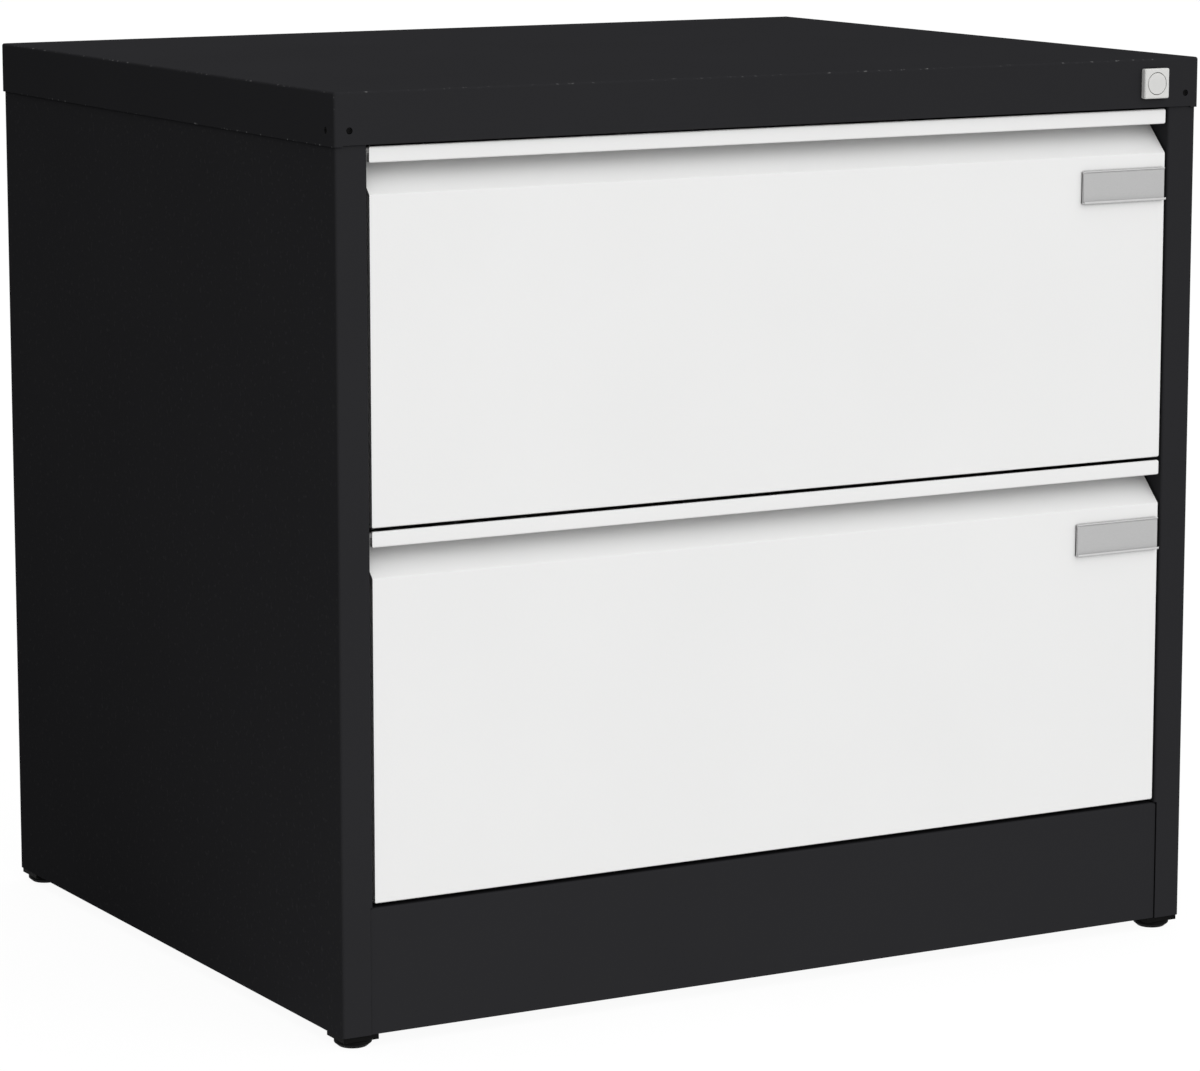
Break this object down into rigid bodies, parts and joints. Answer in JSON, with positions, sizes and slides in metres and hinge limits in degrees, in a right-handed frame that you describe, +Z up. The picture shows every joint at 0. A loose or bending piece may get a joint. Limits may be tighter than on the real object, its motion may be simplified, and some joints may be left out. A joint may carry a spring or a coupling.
{
  "type": "lateral filing cabinet",
  "caption": "Wide low steel filing cabinet: flush drawers on telescopic slides, full-width folded handles, card holders, a lock with lock bar, and levelling feet.",
  "frame": {"origin": "floor level under the middle of the carcass", "axes": "+X to the right along the width seen from the front, -Y out of the front, +Z up"},
  "size_m": [0.765, 0.6266, 0.711],
  "materials": {
    "carcass_black": "satin black powder coat",
    "drawer_white": "satin white powder coat",
    "zinc_steel": "bright zinc plated",
    "lock_grey": "light grey moulded",
    "holder_grey": "light grey extruded",
    "label_card": "plain grey card",
    "foot_black": "black moulded"
  },
  "bodies": {
    "carcass": {"top_cap": "carcass_black", "left_side_panel": "carcass_black", "right_side_panel": "carcass_black", "left_rear_upright": "carcass_black", "right_rear_upright": "carcass_black", "back_panel": "carcass_black", "base_pan": "carcass_black", "plinth_panel": "carcass_black", "front_top_rail": "carcass_black", "front_left_foot_block": "foot_black", "front_right_foot_block": "foot_black", "rear_left_foot_block": "foot_black", "rear_right_foot_block": "foot_black", "lock_housing": "lock_grey", "lock_nut": "zinc_steel", "lock_bar_lower_guide": "foot_black", "lock_bar_upper_guide": "foot_black", "interlock_bar_lower_guide": "foot_black", "interlock_bar_upper_guide": "foot_black", "upper_left_slide_outer": "zinc_steel", "upper_right_slide_outer": "zinc_steel", "lower_left_slide_outer": "zinc_steel", "lower_right_slide_outer": "zinc_steel"},
    "upper_drawer": {"upper_drawer_front": "drawer_white", "upper_drawer_liner": "drawer_white", "upper_drawer_tray": "drawer_white", "upper_centre_file_rail": "drawer_white", "upper_card_holder": "holder_grey", "upper_left_slide_inner": "zinc_steel", "upper_right_slide_inner": "zinc_steel"},
    "upper_label_card": {"upper_label_card": "label_card"},
    "upper_slide_middles": {"upper_left_slide_middle": "zinc_steel", "upper_right_slide_middle": "zinc_steel"},
    "upper_outer_cages": {"upper_left_outer_ball_cage": "zinc_steel", "upper_right_outer_ball_cage": "zinc_steel"},
    "upper_inner_cages": {"upper_left_inner_ball_cage": "zinc_steel", "upper_right_inner_ball_cage": "zinc_steel"},
    "lower_drawer": {"lower_drawer_front": "drawer_white", "lower_drawer_liner": "drawer_white", "lower_drawer_tray": "drawer_white", "lower_centre_file_rail": "drawer_white", "lower_card_holder": "holder_grey", "lower_left_slide_inner": "zinc_steel", "lower_right_slide_inner": "zinc_steel"},
    "lower_label_card": {"lower_label_card": "label_card"},
    "lower_slide_middles": {"lower_left_slide_middle": "zinc_steel", "lower_right_slide_middle": "zinc_steel"},
    "lower_outer_cages": {"lower_left_outer_ball_cage": "zinc_steel", "lower_right_outer_ball_cage": "zinc_steel"},
    "lower_inner_cages": {"lower_left_inner_ball_cage": "zinc_steel", "lower_right_inner_ball_cage": "zinc_steel"},
    "lock_barrel": {"lock_barrel": "lock_grey", "lock_cam": "zinc_steel"},
    "lock_bar": {"lock_bar": "zinc_steel"},
    "interlock_bar": {"interlock_bar": "zinc_steel"},
    "front_left_foot": {"front_left_levelling_foot": "foot_black"},
    "front_right_foot": {"front_right_levelling_foot": "foot_black"},
    "rear_left_foot": {"rear_left_levelling_foot": "foot_black"},
    "rear_right_foot": {"rear_right_levelling_foot": "foot_black"}
  },
  "joints": [
    {"name": "upper_drawer_slide", "type": "slide", "parent": "carcass", "child": "upper_drawer", "axis": [0, -1, 0], "range_m": [0, 0.5]},
    {"name": "upper_middle_slide", "type": "slide", "parent": "carcass", "child": "upper_slide_middles", "axis": [0, -1, 0], "range_m": [0, 0.25]},
    {"name": "upper_outer_cage_roll", "type": "slide", "parent": "carcass", "child": "upper_outer_cages", "axis": [0, -1, 0], "range_m": [0, 0.125]},
    {"name": "upper_inner_cage_roll", "type": "slide", "parent": "carcass", "child": "upper_inner_cages", "axis": [0, -1, 0], "range_m": [0, 0.375]},
    {"name": "upper_card_pull", "type": "slide", "parent": "upper_drawer", "child": "upper_label_card", "axis": [-1, 0, 0], "range_m": [0, 0.08]},
    {"name": "lower_drawer_slide", "type": "slide", "parent": "carcass", "child": "lower_drawer", "axis": [0, -1, 0], "range_m": [0, 0.5]},
    {"name": "lower_middle_slide", "type": "slide", "parent": "carcass", "child": "lower_slide_middles", "axis": [0, -1, 0], "range_m": [0, 0.25]},
    {"name": "lower_outer_cage_roll", "type": "slide", "parent": "carcass", "child": "lower_outer_cages", "axis": [0, -1, 0], "range_m": [0, 0.125]},
    {"name": "lower_inner_cage_roll", "type": "slide", "parent": "carcass", "child": "lower_inner_cages", "axis": [0, -1, 0], "range_m": [0, 0.375]},
    {"name": "lower_card_pull", "type": "slide", "parent": "lower_drawer", "child": "lower_label_card", "axis": [-1, 0, 0], "range_m": [0, 0.08]},
    {"name": "lock_turn", "type": "hinge", "parent": "carcass", "child": "lock_barrel", "pos_m": [0.3393, -0.3156, 0.6915], "axis": [0, -1, 0], "range_deg": [0, 90]},
    {"name": "lock_bar_lift", "type": "slide", "parent": "carcass", "child": "lock_bar", "axis": [0, 0, 1], "range_m": [0, 0.01202]},
    {"name": "interlock_bar_lift", "type": "slide", "parent": "carcass", "child": "interlock_bar", "axis": [0, 0, 1], "range_m": [0, 0.012]},
    {"name": "front_left_foot_screw", "type": "slide", "parent": "carcass", "child": "front_left_foot", "axis": [0, 0, -1], "range_m": [0, 0.01]},
    {"name": "front_right_foot_screw", "type": "slide", "parent": "carcass", "child": "front_right_foot", "axis": [0, 0, -1], "range_m": [0, 0.01]},
    {"name": "rear_left_foot_screw", "type": "slide", "parent": "carcass", "child": "rear_left_foot", "axis": [0, 0, -1], "range_m": [0, 0.01]},
    {"name": "rear_right_foot_screw", "type": "slide", "parent": "carcass", "child": "rear_right_foot", "axis": [0, 0, -1], "range_m": [0, 0.01]}
  ],
  "couplings": [
    {"joint": "upper_middle_slide", "follows": "upper_drawer_slide", "ratio": 0.5},
    {"joint": "upper_outer_cage_roll", "follows": "upper_drawer_slide", "ratio": 0.25},
    {"joint": "upper_inner_cage_roll", "follows": "upper_drawer_slide", "ratio": 0.75},
    {"joint": "lower_middle_slide", "follows": "lower_drawer_slide", "ratio": 0.5},
    {"joint": "lower_outer_cage_roll", "follows": "lower_drawer_slide", "ratio": 0.25},
    {"joint": "lower_inner_cage_roll", "follows": "lower_drawer_slide", "ratio": 0.75},
    {"joint": "lock_turn", "follows": "lock_bar_lift", "rad_per_m": 130.67}
  ]
}
